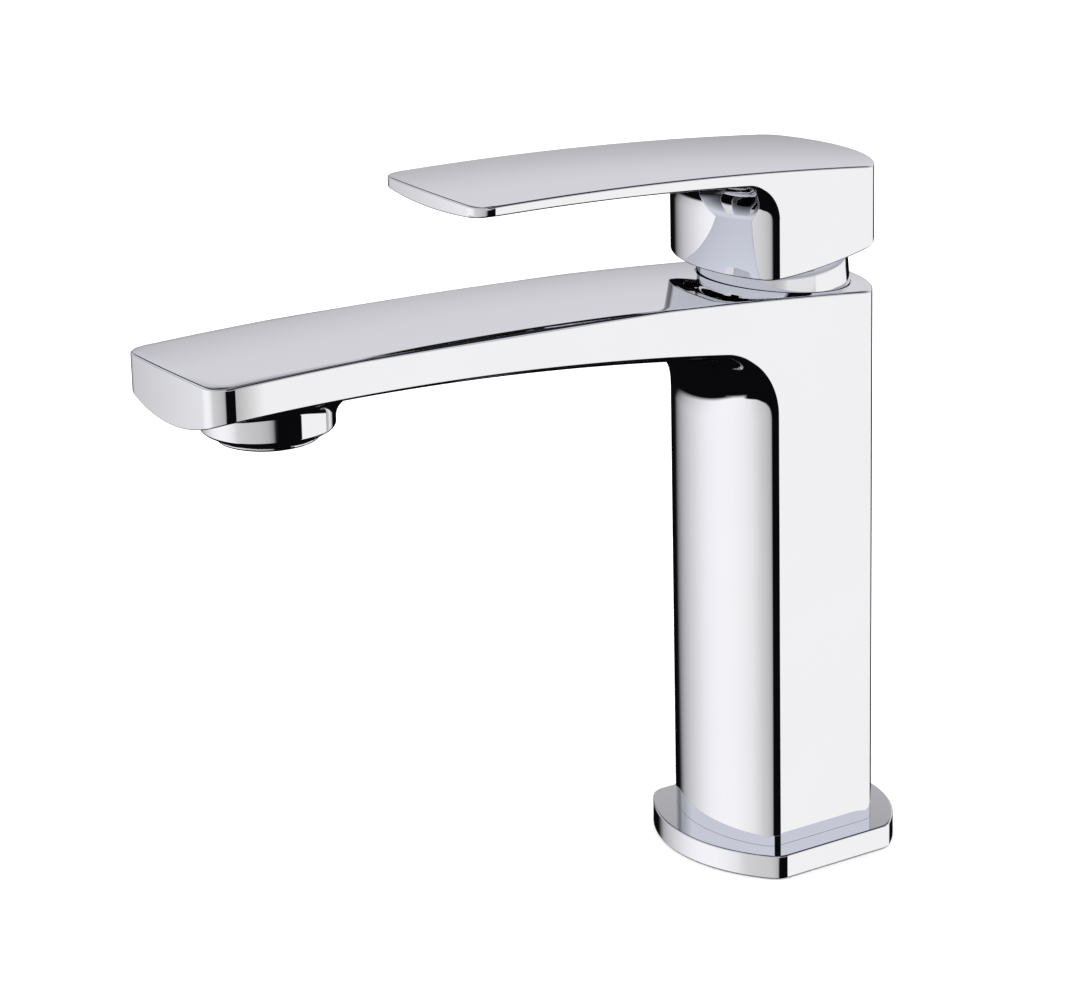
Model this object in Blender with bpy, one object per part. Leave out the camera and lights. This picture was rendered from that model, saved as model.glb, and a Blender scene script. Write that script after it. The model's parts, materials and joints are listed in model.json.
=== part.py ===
"""Single-lever basin mixer tap, built as the loose pieces a plumber would lay out on a bench.

Lengths are written in millimetres and become metres when a mesh is made.
The origin is where the cartridge axis meets the basin top. +Z is up and the spout points to -Y.
"""

import math

import bmesh
import bpy
from mathutils import Matrix, Vector

MM = 0.001
GAP = 0.3

# Body plan, seen from above: two flat sides joined by a bowed front and a bowed back.
BODY_HALF = 19.0
BODY_CORNER = 4.5
BODY_FRONT = -20.8
BODY_BACK = 21.0
FRONT_BOW = 6.0
BACK_BOW = 8.4
FOOT_Z = 5.8

# Spout: an upper and a lower arc seen from the side, given by apex and radius.
SPOUT_TIP = -153.2
SPOUT_TIP_BOW = 0.8
SPOUT_TIP_CORNER = 5.0
DECK_APEX = (-131.2, 140.0)
DECK_RADIUS = 1192.0
UNDER_APEX = (-140.0, 132.3)
UNDER_RADIUS = 700.0
UNDER_CROWN = 3.8
ARCH_RADIUS = 16.5

# Outlet under the spout tip.
OUTLET_Y = -129.9
OUTLET_Z = 122.0
OUTLET_BORE = 9.6
OUTLET_BORE_TOP = 133.4
OUTLET_RIM = 11.4
BOSS_RADIUS = 14.1
BOSS_FLARE_FOOT = 126.2
BOSS_FLARE_OUT = 3.6
BOSS_FLARE_UP = 5.2
BOSS_TOP = 133.0

# Base plate.
PLATE_HALF = 24.5
PLATE_CORNER = 4.7
PLATE_FRONT = -26.6
PLATE_BACK = 26.2
PLATE_FRONT_BOW = 9.8
PLATE_BACK_BOW = 12.6
PLATE_TOP = 5.5
PLATE_SKIN = 2.2
PLATE_RIM = 1.8
SPIGOT_RADIUS = 15.4

# Handle.
LEVER_TIP = -90.0
LEVER_TIP_BOW = 1.0
LEVER_TIP_CORNER = 4.6
LEVER_APEX = (-101.2, 166.7)
LEVER_RADIUS = 900.0
LEVER_UNDER_APEX = (-101.2, 164.3)
LEVER_UNDER_RADIUS = 740.0
LEVER_CROWN = 1.0
BLOCK_FRONT = -20.7
BLOCK_BACK = 21.4
BLOCK_FRONT_BOW = 6.5
BLOCK_FILLET = 9.0
BLOCK_SKIRT_APEX = (-14.0, 137.9)
BLOCK_SKIRT_RADIUS = 110.0
BLOCK_WALL = 2.2
BLOCK_CEILING = 147.5

# Cartridge stack on the axis, from the seat up.
SEAT_Z = 98.0
SEAT_BLOCK = 14.0
CAVITY_FLOOR = 12.0
CAVITY_WALL = 3.2
CHAMBER_RADIUS = 14.1
THREAD_RADIUS = 15.6
THREAD_Z = 125.9
PIVOT_Z = 138.0
BALL_Z = 127.0
DISC_REST_Y = 1.9
COLLAR_RADIUS = 17.0
COLLAR_SEAT = 130.2
STEM_HALF = 3.0
SCREW_Z = 151.8
SCREW_HOLE = 2.6
PLUG_HOLE = 3.4
PLUG_SEAT = 18.4
NUT_BORE = 12.7

# Water ports seen from above: two inlets side by side, one outlet behind them.
PORTS = (("hot", (-4.2, -4.6)), ("cold", (4.2, -4.6)))
OUTLET_PORT = (0.0, 3.6)
PORT_RADIUS = 1.8

# Hose sockets under the seat, the passages straight below them, and the fixing stud's hole.
SOCKET_X = 5.4
SOCKET_RADIUS = 4.4
SOCKET_DEPTH = 9.0
PASSAGE_X = 5.6
PASSAGE_RADIUS = 5.2
STUD_Y = 8.6
STUD_RADIUS = 3.4

# Ceramic discs, from the top of the cartridge foot to the sledge.
CARTRIDGE_FOOT_TOP = 113.6
FIXED_DISC = (10.7, CARTRIDGE_FOOT_TOP + GAP, 117.5)
MOVING_DISC = (8.8, 117.8, 121.0)

LOOKS = {
    "chrome": ((0.86, 0.87, 0.90), 0.04, 1.0),
    "brass": ((0.72, 0.55, 0.28), 0.32, 1.0),
    "steel": ((0.60, 0.60, 0.61), 0.25, 1.0),
    "white_plastic": ((0.88, 0.88, 0.85), 0.45, 0.0),
    "grey_plastic": ((0.42, 0.44, 0.47), 0.40, 0.0),
    "black_rubber": ((0.03, 0.03, 0.03), 0.70, 0.0),
    "ceramic": ((0.90, 0.90, 0.88), 0.15, 0.0),
}


# ---------------------------------------------------------------- mesh helpers


def clear_scene():
    for obj in list(bpy.data.objects):
        bpy.data.objects.remove(obj, do_unlink=True)


def look(name):
    found = bpy.data.materials.get(name)
    if found:
        return found
    colour, roughness, metallic = LOOKS[name]
    material = bpy.data.materials.new(name)
    material.use_nodes = True
    shader = material.node_tree.nodes["Principled BSDF"]
    shader.inputs["Base Color"].default_value = (*colour, 1.0)
    shader.inputs["Roughness"].default_value = roughness
    shader.inputs["Metallic"].default_value = metallic
    material.diffuse_color = (*colour, 1.0)
    return material


def add_piece(name, points, faces, finish, origin=(0.0, 0.0, 0.0)):
    """One closed mesh from points in millimetres, with its object origin at `origin`."""
    start = Vector(origin)
    mesh = bpy.data.meshes.new(name)
    mesh.from_pydata([(Vector(p) - start) * MM for p in points], [], faces)
    shell = bmesh.new()
    shell.from_mesh(mesh)
    bmesh.ops.recalc_face_normals(shell, faces=shell.faces)
    shell.to_mesh(mesh)
    shell.free()
    mesh.materials.append(look(finish))
    mesh.shade_smooth()
    mesh.set_sharp_from_angle(angle=math.radians(35))
    obj = bpy.data.objects.new(name, mesh)
    obj.location = start * MM
    bpy.context.scene.collection.objects.link(obj)
    return obj


def add_skin(name, rings, finish, origin=(0.0, 0.0, 0.0)):
    """A closed loft through rings of equal length, with the first and last ring capped."""
    count = len(rings[0])
    points = [point for ring in rings for point in ring]
    faces = []
    for row in range(len(rings) - 1):
        for i in range(count):
            j = (i + 1) % count
            here = row * count
            faces.append((here + i, here + j, here + count + j, here + count + i))
    faces.append(tuple(range(count))[::-1])
    faces.append(tuple(range((len(rings) - 1) * count, len(rings) * count)))
    return add_piece(name, points, faces, finish, origin)


def add_prism(name, outline, low, high, finish, axis="Z", origin=(0.0, 0.0, 0.0)):
    """An outline pushed from low to high along an axis. For X the outline is (y, z)."""
    if axis == "Z":
        rings = [[(u, v, w) for u, v in outline] for w in (low, high)]
    elif axis == "X":
        rings = [[(w, u, v) for u, v in outline] for w in (low, high)]
    else:
        rings = [[(u, w, v) for u, v in outline] for w in (low, high)]
    return add_skin(name, rings, finish, origin)


def add_turned(name, profile, finish, centre=(0.0, 0.0), steps=40, origin=(0.0, 0.0, 0.0)):
    """A closed (radius, z) outline turned round a vertical axis. Radius 0 is allowed at its ends only."""
    points = []
    rows = []
    for radius, z in profile:
        if radius == 0.0:
            rows.append([len(points)] * steps)
            points.append((centre[0], centre[1], z))
            continue
        rows.append(list(range(len(points), len(points) + steps)))
        for i in range(steps):
            turn = 2 * math.pi * i / steps
            x = centre[0] + radius * math.cos(turn)
            y = centre[1] + radius * math.sin(turn)
            points.append((x, y, z))
    on_axis = profile[0][0] == 0.0
    faces = []
    for k in range(len(profile) - 1 if on_axis else len(profile)):
        low, high = rows[k], rows[(k + 1) % len(profile)]
        for i in range(steps):
            j = (i + 1) % steps
            corners = [low[i], low[j], high[j], high[i]]
            faces.append(tuple(dict.fromkeys(corners)))
    return add_piece(name, points, faces, finish, origin)


def ring_profile(inner, outer, low, high):
    return [(outer, high), (outer, low), (inner, low), (inner, high)]


def disc_profile(radius, low, high):
    return [(0.0, high), (radius, high), (radius, low), (0.0, low)]


def six_sided(corner_radius):
    turns = [math.radians(60 * k) for k in range(6)]
    return [(corner_radius * math.cos(turn), corner_radius * math.sin(turn)) for turn in turns]


def o_ring_profile(mean, section, z, sides=8):
    profile = []
    for k in range(sides):
        turn = 2 * math.pi * k / sides
        profile.append((mean + section * math.cos(turn), z - section * math.sin(turn)))
    return profile


def combine(obj, tools, operation="DIFFERENCE"):
    """Adds one Boolean for each tool and hides the tool from renders."""
    for tool in tools:
        change = obj.modifiers.new(tool.name, "BOOLEAN")
        change.operation = operation
        change.object = tool
        tool.hide_render = True
        tool.display_type = "WIRE"
    return obj


def cut_turned(name, profile, centre=(0.0, 0.0), steps=32):
    return add_turned("cut_" + name, profile, "steel", centre, steps)


def lay_along_x(obj, point):
    """Turns a piece that was made upright at the world origin so that it lies along X at a point."""
    turn = Matrix.Rotation(math.radians(90), 4, "Y")
    obj.matrix_world = Matrix.Translation(Vector(point) * MM) @ turn
    return obj


def lay_along_y(obj, point):
    turn = Matrix.Rotation(math.radians(-90), 4, "X")
    obj.matrix_world = Matrix.Translation(Vector(point) * MM) @ turn
    return obj


# ---------------------------------------------------------------- outlines


def arc_z(apex, radius, y):
    """Height of a flat arc that crests at apex; a negative radius dips there instead."""
    return apex[1] - (y - apex[0]) ** 2 / (2 * radius)


def bow_parts(half, bow, corner):
    """Arc radius, and how far the arc's centre and the corner's centre lie behind the virtual corner."""
    radius = (half * half + bow * bow) / (2 * bow)
    centre = bow - radius
    corner_centre = centre + math.sqrt((radius - corner) ** 2 - (half - corner) ** 2)
    return radius, centre, corner_centre


def bow_reach(x, half, bow, corner):
    """How far a bowed end stands out at x, counted from where the flat sides stop."""
    radius, centre, corner_centre = bow_parts(half, bow, corner)
    x = min(abs(x), half)
    touch = (half - corner) * radius / (radius - corner)
    if x <= touch:
        return centre + math.sqrt(radius * radius - x * x) - corner_centre
    return math.sqrt(max(corner**2 - (x - half + corner) ** 2, 0.0))


def bow_depth(half, bow, corner):
    return bow_reach(0.0, half, bow, corner)


def stations(half, corner, across=4):
    """Places across the width, close together where the corners turn."""
    turns = [math.radians(a) for a in (0, 20, 42, 64)]
    side = [half - corner + corner * math.cos(a) for a in turns]
    inner = half - corner
    side += [inner * (across - k) / across for k in range(across)]
    return [-x for x in side] + [0.0] + side[::-1]


def plan_outline(half, front, back, front_bow, back_bow, corner, inset=0.0):
    """The closed plan of two flat sides with a bowed front and back, drawn inset from its edge."""
    width = half - inset
    round_corner = max(corner - inset, 0.8)
    places = stations(width, round_corner)
    fore = front + inset + bow_depth(width, front_bow, round_corner)
    aft = back - inset - bow_depth(width, back_bow, round_corner)
    outline = [(x, fore - bow_reach(x, width, front_bow, round_corner)) for x in places]
    outline += [(x, aft + bow_reach(x, width, back_bow, round_corner)) for x in places[::-1]]
    return outline


def body_plan(inset):
    return plan_outline(BODY_HALF, BODY_FRONT, BODY_BACK, FRONT_BOW, BACK_BOW, BODY_CORNER, inset)


def block_plan(inset):
    return plan_outline(
        BODY_HALF, BLOCK_FRONT, BLOCK_BACK, BLOCK_FRONT_BOW, BACK_BOW, BODY_CORNER, inset
    )


def plate_plan(inset):
    return plan_outline(
        PLATE_HALF, PLATE_FRONT, PLATE_BACK, PLATE_FRONT_BOW, PLATE_BACK_BOW, PLATE_CORNER, inset
    )


def deck_z(y):
    return arc_z(DECK_APEX, DECK_RADIUS, y)


def crown(x, depth):
    return depth * (1 - (x / BODY_HALF) ** 2)


def between(start, end, count):
    return [start + (end - start) * k / count for k in range(count + 1)]


def fillet(front, apex, under_radius, sag, radius, steps):
    """The (y, z) bend that joins a flat arc's underside to an upright front, from the arc down."""
    lean = math.atan((front - radius - apex[0]) / under_radius)
    centre_y = front - radius
    start_y = centre_y + radius * math.sin(lean)
    centre_z = arc_z(apex, under_radius, start_y) - sag - radius * math.cos(lean)
    turns = between(math.pi / 2 - lean, 0.0, steps)
    return [(centre_y + radius * math.cos(a), centre_z + radius * math.sin(a)) for a in turns]


def body_side_view(x):
    """The body's closed (y, z) outline at one place across its width."""
    front_flat = BODY_FRONT + bow_depth(BODY_HALF, FRONT_BOW, BODY_CORNER)
    back_flat = BODY_BACK - bow_depth(BODY_HALF, BACK_BOW, BODY_CORNER)
    tip_flat = SPOUT_TIP + bow_depth(BODY_HALF, SPOUT_TIP_BOW, SPOUT_TIP_CORNER)
    back = back_flat + bow_reach(x, BODY_HALF, BACK_BOW, BODY_CORNER)
    tip = tip_flat - bow_reach(x, BODY_HALF, SPOUT_TIP_BOW, SPOUT_TIP_CORNER)
    front = front_flat - bow_reach(x, BODY_HALF, FRONT_BOW, BODY_CORNER)
    sag = crown(x, UNDER_CROWN)
    arch = fillet(front, UNDER_APEX, UNDER_RADIUS, sag, ARCH_RADIUS, 5)
    outline = [(back, FOOT_Z)]
    outline += [(y, deck_z(y)) for y in between(back, tip, 12)]
    for y in between(tip, arch[0][0], 9)[:-1]:
        outline.append((y, arc_z(UNDER_APEX, UNDER_RADIUS, y) - sag))
    return outline + arch + [(front, FOOT_Z)]


def handle_side_view(x):
    """The handle's closed (y, z) outline at one place across its width."""
    front_flat = BLOCK_FRONT + bow_depth(BODY_HALF, BLOCK_FRONT_BOW, BODY_CORNER)
    back_flat = BLOCK_BACK - bow_depth(BODY_HALF, BACK_BOW, BODY_CORNER)
    tip_flat = LEVER_TIP + bow_depth(BODY_HALF, LEVER_TIP_BOW, LEVER_TIP_CORNER)
    back = back_flat + bow_reach(x, BODY_HALF, BACK_BOW, BODY_CORNER)
    tip = tip_flat - bow_reach(x, BODY_HALF, LEVER_TIP_BOW, LEVER_TIP_CORNER)
    front = front_flat - bow_reach(x, BODY_HALF, BLOCK_FRONT_BOW, BODY_CORNER)
    sag = crown(x, LEVER_CROWN)
    bend = fillet(front, LEVER_UNDER_APEX, LEVER_UNDER_RADIUS, sag, BLOCK_FILLET, 4)
    outline = [(y, arc_z(LEVER_APEX, LEVER_RADIUS, y)) for y in between(back, tip, 9)]
    for y in between(tip, bend[0][0], 6)[:-1]:
        outline.append((y, arc_z(LEVER_UNDER_APEX, LEVER_UNDER_RADIUS, y) - sag))
    outline += bend
    for y in between(front, back, 5):
        outline.append((y, arc_z(BLOCK_SKIRT_APEX, -BLOCK_SKIRT_RADIUS, y)))
    return outline


# ---------------------------------------------------------------- fixed outside pieces


def under_mid(y):
    return arc_z(UNDER_APEX, UNDER_RADIUS, y) - UNDER_CROWN


def make_body():
    """Chromed casting: hollow column, cartridge chamber, waterway and outlet boss in one piece."""
    places = stations(BODY_HALF, BODY_CORNER)
    skin = [[(x, y, z) for y, z in body_side_view(x)] for x in places]
    body = add_skin("body", skin, "chrome")

    boss = [(0.0, BOSS_TOP), (BOSS_RADIUS + BOSS_FLARE_OUT, BOSS_TOP)]
    for angle in between(math.radians(78), 0.0, 4):
        radius = BOSS_RADIUS + BOSS_FLARE_OUT * (1 - math.cos(angle))
        boss.append((radius, BOSS_FLARE_FOOT + BOSS_FLARE_UP * math.sin(angle)))
    boss += [(BOSS_RADIUS, OUTLET_Z + 1.9), (BOSS_RADIUS - 0.4, OUTLET_Z + 1.4)]
    boss += [(OUTLET_RIM, OUTLET_Z), (0.0, OUTLET_Z)]
    boss = cut_turned("outlet_boss", boss, (0.0, OUTLET_Y), 40)
    spigot = cut_turned("spigot", disc_profile(SPIGOT_RADIUS, 0.0, FOOT_Z + 1.0), steps=40)
    combine(body, [boss, spigot], "UNION")

    chamber = [(0.0, 150.0), (COLLAR_RADIUS + GAP, 150.0), (COLLAR_RADIUS + GAP, COLLAR_SEAT)]
    chamber += [(THREAD_RADIUS, COLLAR_SEAT), (THREAD_RADIUS, THREAD_Z)]
    chamber += [(CHAMBER_RADIUS, THREAD_Z), (CHAMBER_RADIUS, SEAT_Z), (0.0, SEAT_Z)]
    tools = [cut_turned("chamber", chamber, steps=48)]
    cavity_top = SEAT_Z - SEAT_BLOCK
    tools.append(
        add_prism("cut_cavity", body_plan(CAVITY_WALL), CAVITY_FLOOR, cavity_top, "steel")
    )
    tools.append(make_waterway())
    outlet = disc_profile(OUTLET_BORE, OUTLET_Z - 1.0, OUTLET_BORE_TOP)
    tools.append(cut_turned("outlet_bore", outlet, (0.0, OUTLET_Y)))
    for name, (x, y) in PORTS:
        side = math.copysign(1.0, x)
        passage = disc_profile(PASSAGE_RADIUS, -1.0, CAVITY_FLOOR + 1.0)
        tools.append(cut_turned("passage_" + name, passage, (side * PASSAGE_X, y), 24))
        socket = disc_profile(SOCKET_RADIUS, cavity_top - 1.0, cavity_top + SOCKET_DEPTH)
        tools.append(cut_turned("socket_" + name, socket, (side * SOCKET_X, y), 24))
        drilling = disc_profile(PORT_RADIUS, cavity_top + SOCKET_DEPTH - 1.0, SEAT_Z + 1.0)
        tools.append(cut_turned("drilling_" + name, drilling, (x, y), 16))
    stud = disc_profile(STUD_RADIUS, -1.0, CAVITY_FLOOR + 1.0)
    tools.append(cut_turned("stud_hole", stud, (0.0, STUD_Y), 20))
    return combine(body, tools)


def make_waterway():
    """Cutter for the cored water path: up the chamber's front, through the bend and along the spout."""
    floor_wall = 2.9
    roof_wall = 3.0
    half_width = 8.0
    end = OUTLET_Y - 5.5
    outline = [(-12.5, 100.0), (-17.8, 100.0), (-17.8, 112.5), (-20.6, 118.8)]
    outline += [(y, under_mid(y) + floor_wall) for y in between(-31.0, end, 6)]
    outline += [(y, deck_z(y) - roof_wall) for y in between(end, -36.0, 6)]
    outline += [(-21.0, 124.4), (-12.5, 121.5)]
    return add_prism("cut_waterway", outline, -half_width, half_width, "steel", "X")


def make_base_flange():
    """Cover plate under the column, hollow beneath, with a round opening for the spigot."""
    plate = add_prism("base_flange", plate_plan(0.0), 0.0, PLATE_TOP, "chrome")
    recess_top = PLATE_TOP - PLATE_SKIN
    recess = add_prism("cut_recess", plate_plan(PLATE_RIM), -1.0, recess_top, "steel")
    opening = disc_profile(SPIGOT_RADIUS + GAP, -1.0, PLATE_TOP + 1.0)
    return combine(plate, [recess, cut_turned("plate_opening", opening, steps=40)])


def make_base_gasket():
    """Flat rubber seal that fills the plate's underside."""
    top = PLATE_TOP - PLATE_SKIN - GAP
    gasket = add_prism("base_gasket", plate_plan(PLATE_RIM + GAP), 0.0, top, "black_rubber")
    opening = disc_profile(SPIGOT_RADIUS + GAP, -1.0, top + 1.0)
    return combine(gasket, [cut_turned("gasket_opening", opening, steps=40)])


def make_collar():
    """Domed cover ring over the cartridge nut."""
    foot = COLLAR_SEAT + GAP
    outer = [(9.6, 142.0), (13.2, 140.9), (15.6, 139.3), (16.7, 137.6), (COLLAR_RADIUS, 136.0)]
    outer += [(COLLAR_RADIUS, foot)]
    inner = [(15.8, foot), (15.8, 136.3), (15.1, 137.6), (12.9, 139.5), (9.6, 140.7)]
    return add_turned("collar", outer + inner, "chrome", steps=40)


# ---------------------------------------------------------------- cartridge, fixed


def make_cartridge_nut():
    """Brass ring nut: threaded skirt with a ring groove, and a six-sided head."""
    outer = THREAD_RADIUS - GAP
    skirt = [(NUT_BORE, 133.4), (outer, 133.4), (outer, 132.9), (14.3, 132.9), (14.3, 131.1)]
    skirt += [(outer, 131.1), (outer, THREAD_Z + GAP), (NUT_BORE, THREAD_Z + GAP)]
    nut = add_turned("cartridge_nut", skirt, "brass", steps=36)
    hexagon = add_prism("nut_head", six_sided(outer), 133.0, 136.2, "brass")
    combine(nut, [hexagon], "UNION")
    bore = cut_turned("nut_bore", disc_profile(NUT_BORE, 120.0, 140.0), steps=36)
    return combine(nut, [bore])


def make_cartridge_shell():
    """Plastic housing that holds the discs, with a shoulder for the nut and a lip for the turret."""
    profile = [(8.5, 134.6), (12.4, 134.6), (12.4, 125.9), (13.7, 125.9), (13.7, 123.2)]
    profile += [(12.7, 123.2), (12.7, 121.4), (13.7, 121.4), (13.7, 113.9)]
    profile += [(11.1, 113.9), (11.1, 133.2), (8.5, 133.2)]
    return add_turned("cartridge_housing", profile, "white_plastic", steps=32)


def make_cartridge_base():
    """Plastic foot with two inlet ports, a blind outlet port and a waist that lets water out."""
    top = CARTRIDGE_FOOT_TOP
    profile = [(0.0, top), (13.4, top), (13.4, 109.5), (10.4, 108.5), (10.4, 102.5)]
    profile += [(13.4, 101.5), (13.4, SEAT_Z + 0.4), (0.0, SEAT_Z + 0.4)]
    base = add_turned("cartridge_base", profile, "grey_plastic", steps=32)
    tools = []
    for name, place in PORTS:
        port = disc_profile(PORT_RADIUS, SEAT_Z - 1.0, top + 1.0)
        tools.append(cut_turned("base_port_" + name, port, place, 16))
        lower_seat = disc_profile(3.6, SEAT_Z - 1.0, SEAT_Z + 2.0)
        tools.append(cut_turned("lower_seat_" + name, lower_seat, place, 20))
        upper_seat = disc_profile(3.3, top - 1.0, top + 1.0)
        tools.append(cut_turned("upper_seat_" + name, upper_seat, place, 20))
    outlet = disc_profile(2.2, 104.0, top + 1.0)
    tools.append(cut_turned("base_outlet", outlet, OUTLET_PORT, 16))
    outlet_seat = disc_profile(3.7, top - 1.0, top + 1.0)
    tools.append(cut_turned("outlet_seat", outlet_seat, OUTLET_PORT, 20))
    window = [(-2.2, 103.8), (2.2, 103.8), (2.2, 107.6), (-2.2, 107.6)]
    tools.append(add_prism("cut_base_window", window, 3.0, 12.0, "steel", "Y"))
    return combine(base, tools)


def make_seals():
    """Round rubber seals between the seat, the cartridge, the nut and the cover ring."""
    between_z = CARTRIDGE_FOOT_TOP - 0.35
    for name, place in PORTS:
        lower = o_ring_profile(2.85, 0.6, SEAT_Z + 1.1, 6)
        add_turned("inlet_seal_" + name, lower, "black_rubber", place, 18)
        upper = o_ring_profile(2.55, 0.5, between_z, 6)
        add_turned("disc_seal_" + name, upper, "black_rubber", place, 16)
    outlet = o_ring_profile(2.95, 0.5, between_z, 6)
    add_turned("disc_seal_outlet", outlet, "black_rubber", OUTLET_PORT, 18)
    add_turned("housing_seal", o_ring_profile(13.4, 0.5, 122.3, 6), "black_rubber", steps=32)
    add_turned("collar_o_ring", o_ring_profile(15.0, 0.5, 132.0, 6), "black_rubber", steps=32)


def make_fixed_disc():
    """Ceramic plate with two inlet ports and one outlet port."""
    disc = add_turned("fixed_disc", disc_profile(*FIXED_DISC), "ceramic", steps=32)
    low, high = FIXED_DISC[1] - 1.0, FIXED_DISC[2] + 1.0
    tools = []
    for name, place in PORTS:
        port = disc_profile(PORT_RADIUS, low, high)
        tools.append(cut_turned("disc_port_" + name, port, place, 16))
    outlet = disc_profile(2.4, low, high)
    tools.append(cut_turned("disc_outlet", outlet, OUTLET_PORT, 16))
    return combine(disc, tools)


def make_limit_ring():
    """Stop ring with one notch, which limits how far the turret can turn."""
    ring = ring_profile(8.6, NUT_BORE - 0.5, 134.9, 136.6)
    limit = add_turned("temperature_limit_ring", ring, "grey_plastic", steps=32)
    notch = [(-1.6, 8.0), (1.6, 8.0), (1.6, 10.4), (-1.6, 10.4)]
    return combine(limit, [add_prism("cut_limit_notch", notch, 134.0, 137.5, "steel")])


# ---------------------------------------------------------------- cartridge, moving


def make_moving_disc():
    """Ceramic plate with a mixing pocket beneath, which uncovers the inlets as it slides forward."""
    place = (0.0, DISC_REST_Y)
    origin = (0.0, DISC_REST_Y, 119.4)
    disc = add_turned("moving_disc", disc_profile(*MOVING_DISC), "ceramic", place, 32, origin)
    pocket = disc_profile(5.2, MOVING_DISC[1] - 1.0, 119.4)
    return combine(disc, [cut_turned("disc_pocket", pocket, (0.0, DISC_REST_Y + 2.6), 24)])


def make_disc_carrier():
    """Plastic sledge that carries the moving disc and takes the ball of the stem."""
    profile = [(0.0, 129.2), (6.2, 129.2), (6.2, 124.4), (8.8, 124.4), (8.8, 121.3), (0.0, 121.3)]
    origin = (0.0, DISC_REST_Y, 124.4)
    centre = (0.0, DISC_REST_Y)
    sledge = add_turned("disc_carrier", profile, "white_plastic", centre, 32, origin)
    slot = [(-3.0, -3.05), (3.0, -3.05), (3.0, 3.05), (-3.0, 3.05)]
    socket = add_prism("cut_ball_socket", slot, 124.1, 130.0, "steel")
    return combine(sledge, [socket])


def make_turret():
    """Turning guide of the stem: a flange inside the housing and two cheeks that hold the pin."""
    profile = [(0.0, 141.4), (8.1, 141.4), (8.1, 132.9), (10.7, 132.9), (10.7, 129.6), (0.0, 129.6)]
    turret = add_turned("stem_turret", profile, "grey_plastic", steps=32)
    low_slot = [(-3.4, -8.0), (3.4, -8.0), (3.4, 8.0), (-3.4, 8.0)]
    high_slot = [(-3.4, -12.0), (3.4, -12.0), (3.4, 12.0), (-3.4, 12.0)]
    tools = [add_prism("cut_turret_low", low_slot, 129.0, 134.0, "steel")]
    tools.append(add_prism("cut_turret_high", high_slot, 133.5, 142.0, "steel"))
    pin_hole = cut_turned("pin_hole", disc_profile(1.55, -10.0, 10.0), steps=16)
    tools.append(lay_along_x(pin_hole, (0.0, 0.0, PIVOT_Z)))
    return combine(turret, tools)


def make_pivot_pin():
    pin = add_turned("pivot_pin", disc_profile(1.25, -7.4, 7.4), "steel", steps=16)
    return lay_along_x(pin, (0.0, 0.0, PIVOT_Z))


def make_stem():
    """Metal stem: square top for the handle, flat eye on the pin, ball in the carrier."""
    pivot = (0.0, 0.0, PIVOT_Z)
    half = STEM_HALF
    outline = [(-half, 156.5), (half, 156.5), (half, 141.5), (3.4, 139.5), (3.4, 136.5)]
    outline += [(1.5, 133.0), (1.5, 126.0), (-1.5, 126.0), (-1.5, 133.0)]
    outline += [(-3.4, 136.5), (-3.4, 139.5), (-half, 141.5)]
    stem = add_prism("lever_stem", outline, -half, half, "steel", "X", pivot)
    ball = []
    for k in range(9):
        turn = math.pi * k / 8
        ball.append((2.5 * math.sin(turn) if 0 < k < 8 else 0.0, BALL_Z + 2.5 * math.cos(turn)))
    combine(stem, [cut_turned("ball", ball, steps=20)], "UNION")
    eye = cut_turned("stem_eye", disc_profile(1.5, -6.0, 6.0), steps=16)
    tools = [lay_along_x(eye, pivot)]
    tools.append(cut_turned("stem_arm", ring_profile(2.6, 9.0, 120.0, 132.0), steps=20))
    return combine(stem, tools)


# ---------------------------------------------------------------- handle group


def make_handle():
    """Cast handle: a thin lever and a hollow block that drops over the cover ring."""
    pivot = (0.0, 0.0, PIVOT_Z)
    places = stations(BODY_HALF, BODY_CORNER)
    skin = [[(x, y, z) for y, z in handle_side_view(x)] for x in places]
    handle = add_skin("handle", skin, "chrome", pivot)
    tools = [add_prism("cut_block", block_plan(BLOCK_WALL), 130.0, BLOCK_CEILING, "steel")]
    socket_half = STEM_HALF + GAP
    socket = [(-socket_half, -socket_half), (socket_half, -socket_half)]
    socket += [(socket_half, socket_half), (-socket_half, socket_half)]
    tools.append(add_prism("cut_stem_socket", socket, 146.0, 157.0, "steel"))
    screw_hole = cut_turned("screw_hole", disc_profile(SCREW_HOLE, 2.0, 25.0), steps=20)
    tools.append(lay_along_y(screw_hole, (0.0, 0.0, SCREW_Z)))
    plug_seat = cut_turned("plug_seat", disc_profile(PLUG_HOLE, PLUG_SEAT, 25.0), steps=24)
    tools.append(lay_along_y(plug_seat, (0.0, 0.0, SCREW_Z)))
    return combine(handle, tools)


def make_set_screw():
    """Socket-head grub screw that grips the stem, reached from the back of the block."""
    profile = [(0.0, 3.4), (1.4, 3.4), (2.3, 4.3), (2.3, 11.5), (0.0, 11.5)]
    screw = add_turned("set_screw", profile, "steel", steps=20)
    socket = add_prism("cut_screw_key", six_sided(1.3), 8.5, 12.5, "steel")
    lay_along_y(socket, (0.0, 0.0, SCREW_Z))
    return combine(lay_along_y(screw, (0.0, 0.0, SCREW_Z)), [socket])


def make_screw_plug():
    """Small push-in cover over the grub screw, with a stub that enters the screw hole."""
    profile = [(0.0, 15.0), (2.2, 15.0), (2.2, 18.8), (3.1, 18.8), (3.1, 21.0), (0.0, 21.0)]
    plug = add_turned("screw_plug", profile, "grey_plastic", steps=24)
    return lay_along_y(plug, (0.0, 0.0, SCREW_Z))


# ---------------------------------------------------------------- aerator


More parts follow.
